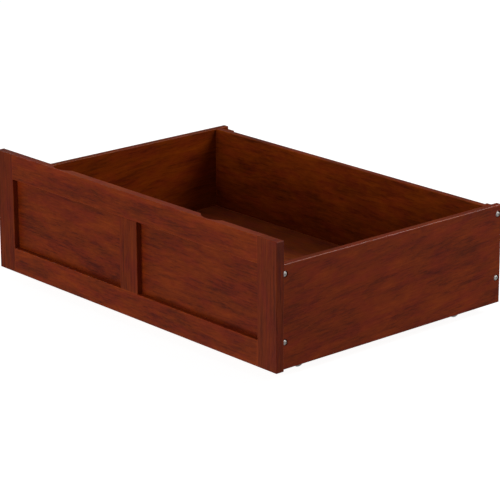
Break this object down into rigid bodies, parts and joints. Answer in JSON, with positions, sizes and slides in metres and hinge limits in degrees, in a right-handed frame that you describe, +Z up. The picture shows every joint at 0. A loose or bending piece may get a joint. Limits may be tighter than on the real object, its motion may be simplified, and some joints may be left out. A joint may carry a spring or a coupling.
{
  "type": "rolling under bed box",
  "caption": "Rolling under bed storage box: frame-and-panel wooden front with finger scoops, plain sides and back, open top, bolted corners and fixed casters.",
  "frame": {"origin": "middle of the box's footprint, on the floor that the wheels stand on", "axes": "+Z up, -Y out of the panelled front, +X along the front to the right of somebody facing it"},
  "size_m": [0.95, 0.673, 0.304],
  "materials": {
    "stained_wood": "reddish brown stain under satin lacquer, fine dark grain along each board",
    "stained_plywood": "stained plywood, satin",
    "plain_wood": "planed softwood, no finish",
    "dowel_wood": "beech, bare",
    "satin_nickel": "satin nickel plate",
    "zinc_steel": "bright zinc plate",
    "zinc_plate": "zinc plated pressed sheet",
    "grey_nylon": "light grey moulded nylon"
  },
  "bodies": {
    "root": {"front_left_stile": "stained_wood", "front_right_stile": "stained_wood", "front_centre_stile": "stained_wood", "front_top_rail": "stained_wood", "front_bottom_rail": "stained_wood", "front_left_panel": "stained_wood", "front_right_panel": "stained_wood", "left_side": "stained_wood", "right_side": "stained_wood", "back_panel": "stained_wood", "bottom_panel": "stained_plywood", "front_left_block": "stained_wood", "front_right_block": "stained_wood", "rear_left_block": "stained_wood", "rear_right_block": "stained_wood", "left_cleat": "plain_wood", "right_cleat": "plain_wood", "front_cleat": "plain_wood", "rear_cleat": "plain_wood", "centre_support": "plain_wood", "frame_dowels": "dowel_wood", "side_bolts": "satin_nickel", "threaded_inserts": "zinc_steel", "front_block_screws": "zinc_steel", "rear_block_screws": "zinc_steel", "cleat_screws": "zinc_steel", "bottom_screws": "zinc_steel", "caster_screws": "zinc_steel", "front_left_caster_bracket": "zinc_plate", "front_left_caster_axle": "zinc_steel", "front_right_caster_bracket": "zinc_plate", "front_right_caster_axle": "zinc_steel", "rear_left_caster_bracket": "zinc_plate", "rear_left_caster_axle": "zinc_steel", "rear_right_caster_bracket": "zinc_plate", "rear_right_caster_axle": "zinc_steel"},
    "front_left_wheel_body": {"front_left_wheel": "grey_nylon"},
    "front_right_wheel_body": {"front_right_wheel": "grey_nylon"},
    "rear_left_wheel_body": {"rear_left_wheel": "grey_nylon"},
    "rear_right_wheel_body": {"rear_right_wheel": "grey_nylon"}
  },
  "joints": [
    {"name": "front_left_wheel_spin", "type": "hinge", "parent": "root", "child": "front_left_wheel_body", "pos_m": [-0.415, -0.2265, 0.017], "axis": [1, 0, 0], "continuous": true},
    {"name": "front_right_wheel_spin", "type": "hinge", "parent": "root", "child": "front_right_wheel_body", "pos_m": [0.415, -0.2265, 0.017], "axis": [1, 0, 0], "continuous": true},
    {"name": "rear_left_wheel_spin", "type": "hinge", "parent": "root", "child": "rear_left_wheel_body", "pos_m": [-0.415, 0.2385, 0.017], "axis": [1, 0, 0], "continuous": true},
    {"name": "rear_right_wheel_spin", "type": "hinge", "parent": "root", "child": "rear_right_wheel_body", "pos_m": [0.415, 0.2385, 0.017], "axis": [1, 0, 0], "continuous": true}
  ]
}
